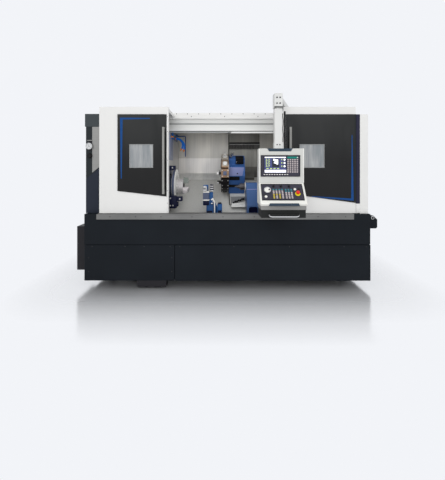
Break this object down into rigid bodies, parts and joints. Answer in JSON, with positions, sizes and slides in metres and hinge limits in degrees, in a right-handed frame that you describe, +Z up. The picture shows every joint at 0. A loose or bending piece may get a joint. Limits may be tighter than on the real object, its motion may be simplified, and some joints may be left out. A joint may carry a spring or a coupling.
{
  "type": "turn-mill machine",
  "caption": "Slant-bed turn-mill machine with sliding doors, chuck, turret, tailstock, steady rest and a swivelling operator pendant, on levelling feet.",
  "frame": {"origin": "floor level, at the middle of the overall length and depth", "axes": "+X towards the tailstock end, +Y towards the back, +Z up"},
  "size_m": [3.58, 2.35, 2.174],
  "materials": {
    "white_paint": "semi-gloss",
    "anthracite_paint": "satin",
    "dark_grey_paint": "satin",
    "blue_paint": "semi-gloss",
    "navy_paint": "satin",
    "black_plastic": "matte",
    "dark_glass": "gloss",
    "window_pane": "gloss",
    "steel": "brushed",
    "stainless_sheet": "brushed",
    "chrome": "polished",
    "cast_iron": "machined",
    "rubber": "matte",
    "red_plastic": "gloss"
  },
  "bodies": {
    "machine": {"right_cabinet": "white_paint", "right_corner_column": "white_paint", "right_roof_panel": "white_paint", "rear_cabinet": "white_paint", "front_top_beam": "white_paint", "top_rail": "white_paint", "rear_top_beam": "white_paint", "roof_plate": "white_paint", "pendant_arm": "white_paint", "base_casting": "anthracite_paint", "lower_left_panel": "anthracite_paint", "lower_right_panel": "anthracite_paint", "upper_front_panel": "anthracite_paint", "front_bed_wall": "anthracite_paint", "jacking_foot": "anthracite_paint", "right_coolant_box": "anthracite_paint", "left_cabinet": "dark_grey_paint", "left_cabinet_cap": "dark_grey_paint", "left_corner_panel": "dark_grey_paint", "left_roof_panel": "dark_grey_paint", "headstock": "blue_paint", "coolant_hose": "blue_paint", "right_corner_strip": "navy_paint", "left_terminal_box": "black_plastic", "front_sill": "steel", "fixed_way_cover": "stainless_sheet", "left_inner_wall": "stainless_sheet", "right_inner_wall": "stainless_sheet", "slant_bed": "cast_iron"},
    "left_door": {"left_door_panel": "white_paint", "left_door_glass": "dark_glass", "left_door_window": "window_pane", "left_door_handle": "chrome"},
    "right_door": {"right_door_panel": "white_paint", "right_door_glass": "dark_glass", "right_door_window": "window_pane", "right_door_handle": "chrome"},
    "chuck": {"chuck_body": "steel"},
    "jaw_1_body": {"jaw_1": "steel"},
    "jaw_2_body": {"jaw_2": "steel"},
    "jaw_3_body": {"jaw_3": "steel"},
    "saddle": {"saddle_cover": "stainless_sheet", "saddle_body": "stainless_sheet", "cross_slide_bellows": "rubber"},
    "left_segment": {"left_cover_segment": "stainless_sheet"},
    "right_segment": {"right_cover_segment": "stainless_sheet"},
    "cross_slide_body": {"turret_housing": "blue_paint"},
    "turret": {"turret_disc": "cast_iron"},
    "tailstock_body": {"tailstock": "blue_paint"},
    "quill": {"tailstock_quill": "chrome"},
    "steady": {"steady_rest": "blue_paint", "steady_rest_block": "dark_grey_paint"},
    "pendant": {"pendant_mast": "white_paint", "console": "white_paint", "display_panel": "dark_grey_paint", "control_panel": "dark_grey_paint", "stop_button": "red_plastic", "pendant_tray": "black_plastic"},
    "handwheel_body": {"handwheel": "chrome"}
  },
  "joints": [
    {"name": "left_door_slide", "type": "slide", "parent": "machine", "child": "left_door", "axis": [1, 0, 0], "range_m": [0, 0.665]},
    {"name": "right_door_slide", "type": "slide", "parent": "machine", "child": "right_door", "axis": [-1, 0, 0], "range_m": [0, 0.665]},
    {"name": "chuck_spin", "type": "hinge", "parent": "machine", "child": "chuck", "pos_m": [-0.704, -0.045, 1.144], "axis": [1, 0, 0], "continuous": true},
    {"name": "jaw_1_slide", "type": "slide", "parent": "chuck", "child": "jaw_1_body", "axis": [0, 0, 1], "range_m": [0, 0.007]},
    {"name": "jaw_2_slide", "type": "slide", "parent": "chuck", "child": "jaw_2_body", "axis": [0, -0.866, -0.5], "range_m": [0, 0.007]},
    {"name": "jaw_3_slide", "type": "slide", "parent": "chuck", "child": "jaw_3_body", "axis": [0, 0.866, -0.5], "range_m": [0, 0.007]},
    {"name": "saddle_slide", "type": "slide", "parent": "machine", "child": "saddle", "axis": [1, 0, 0], "range_m": [-0.33, 0.35]},
    {"name": "left_segment_slide", "type": "slide", "parent": "machine", "child": "left_segment", "axis": [1, 0, 0], "range_m": [-0.165, 0.175]},
    {"name": "right_segment_slide", "type": "slide", "parent": "machine", "child": "right_segment", "axis": [1, 0, 0], "range_m": [-0.165, 0.175]},
    {"name": "cross_slide", "type": "slide", "parent": "saddle", "child": "cross_slide_body", "axis": [0, 0.866, 0.5], "range_m": [-0.055, 0.15]},
    {"name": "turret_index", "type": "hinge", "parent": "cross_slide_body", "child": "turret", "pos_m": [-0.076, 0.26305, 1.32185], "axis": [1, 0, 0], "continuous": true},
    {"name": "tailstock_slide", "type": "slide", "parent": "machine", "child": "tailstock_body", "axis": [-1, 0, 0], "range_m": [-0.3, 0.1]},
    {"name": "quill_slide", "type": "slide", "parent": "tailstock_body", "child": "quill", "axis": [-1, 0, 0], "range_m": [0, 0.12]},
    {"name": "steady_slide", "type": "slide", "parent": "machine", "child": "steady", "axis": [-1, 0, 0], "range_m": [-0.2, 0.15]},
    {"name": "pendant_swivel", "type": "hinge", "parent": "machine", "child": "pendant", "pos_m": [0.527, -0.925, 2.023], "axis": [0, 0, 1], "range_deg": [-50, 50]},
    {"name": "handwheel_spin", "type": "hinge", "parent": "pendant", "child": "handwheel_body", "pos_m": [0.396, -1.0658, 1.16309], "axis": [0, -0.7941, 0.6078], "continuous": true}
  ],
  "couplings": [
    {"joint": "jaw_2_slide", "follows": "jaw_1_slide", "ratio": 1},
    {"joint": "jaw_3_slide", "follows": "jaw_1_slide", "ratio": 1},
    {"joint": "left_segment_slide", "follows": "saddle_slide", "ratio": 0.5},
    {"joint": "right_segment_slide", "follows": "saddle_slide", "ratio": 0.5}
  ]
}
